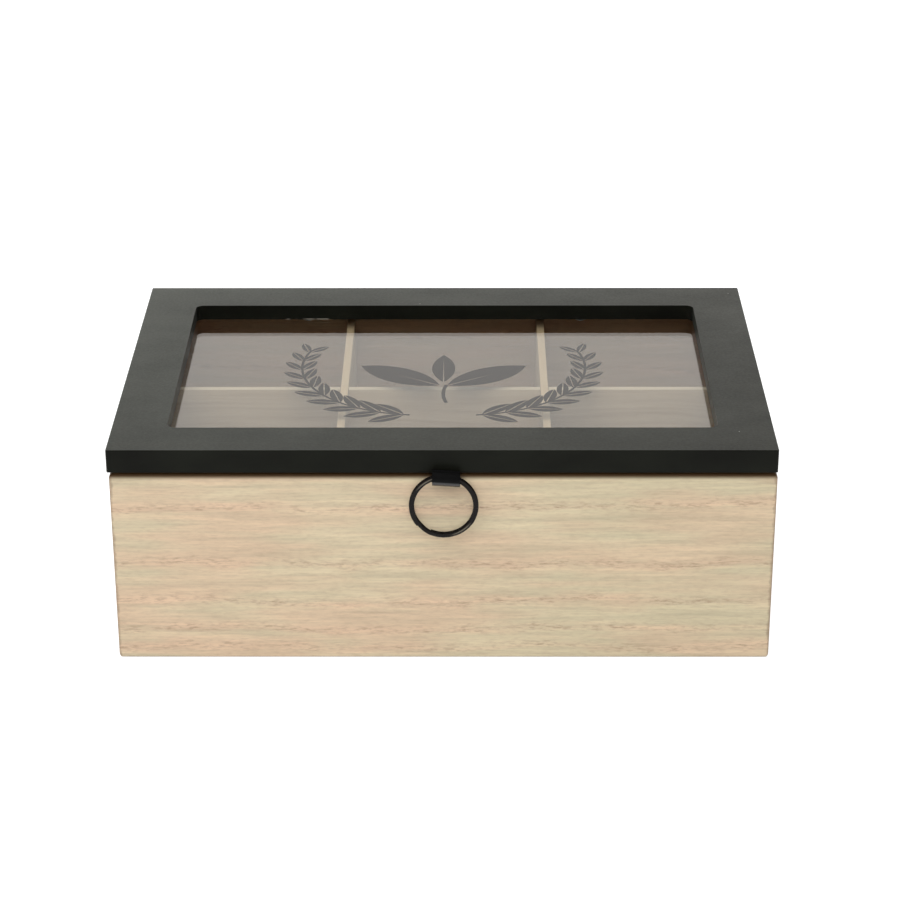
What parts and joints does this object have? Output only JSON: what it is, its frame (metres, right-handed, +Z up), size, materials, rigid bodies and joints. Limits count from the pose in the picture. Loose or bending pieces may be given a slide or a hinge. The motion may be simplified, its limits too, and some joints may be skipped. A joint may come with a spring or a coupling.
{
  "type": "tea box",
  "caption": "Wooden tea bag box with crossed dividers under a hinged black lid with a glass window, opened by a split ring on a strap.",
  "frame": {"origin": "middle of the underside, on the surface that the box stands on", "axes": "+X to the right along the front, +Y from the front to the back, +Z up"},
  "size_m": [0.2406, 0.1684, 0.0848],
  "materials": {
    "veneer": "clear matt lacquer on pale veneer, grain along the box",
    "plywood": "sanded thin plywood",
    "divider_wood": "sanded bare wood",
    "hinge_brass": "satin pressed sheet",
    "screw_brass": "satin turned",
    "pin_steel": "drawn wire",
    "black_paint": "matt black paint on fibreboard",
    "glass": "clear float glass",
    "point_steel": "zinc plated sheet",
    "strap_leather": "black coated leathercloth, smooth",
    "staple_steel": "galvanised wire",
    "ring_black": "black lacquered spring wire"
  },
  "bodies": {
    "box": {"front_panel": "veneer", "back_panel": "veneer", "left_panel": "veneer", "right_panel": "veneer", "floor_panel": "plywood", "long_divider": "divider_wood", "left_cross_divider": "divider_wood", "right_cross_divider": "divider_wood", "left_box_leaf": "hinge_brass", "right_box_leaf": "hinge_brass", "box_leaf_screws": "screw_brass", "left_hinge_pin": "pin_steel", "right_hinge_pin": "pin_steel"},
    "lid": {"lid_frame": "black_paint", "glass_pane": "glass", "glazing_points": "point_steel", "left_lid_leaf": "hinge_brass", "right_lid_leaf": "hinge_brass", "lid_leaf_screws": "screw_brass", "pull_strap": "strap_leather", "strap_staple": "staple_steel"},
    "ring": {"split_ring": "ring_black"}
  },
  "joints": [
    {"name": "lid_hinge", "type": "hinge", "parent": "box", "child": "lid", "pos_m": [0, 0.0815, 0.0755], "axis": [-1, 0, 0], "range_deg": [0, 180]},
    {"name": "ring_swing", "type": "hinge", "parent": "lid", "child": "ring", "pos_m": [0.00025, -0.08298, 0.07505], "axis": [-1, 0, 0], "range_deg": [-6.5, 180]}
  ]
}
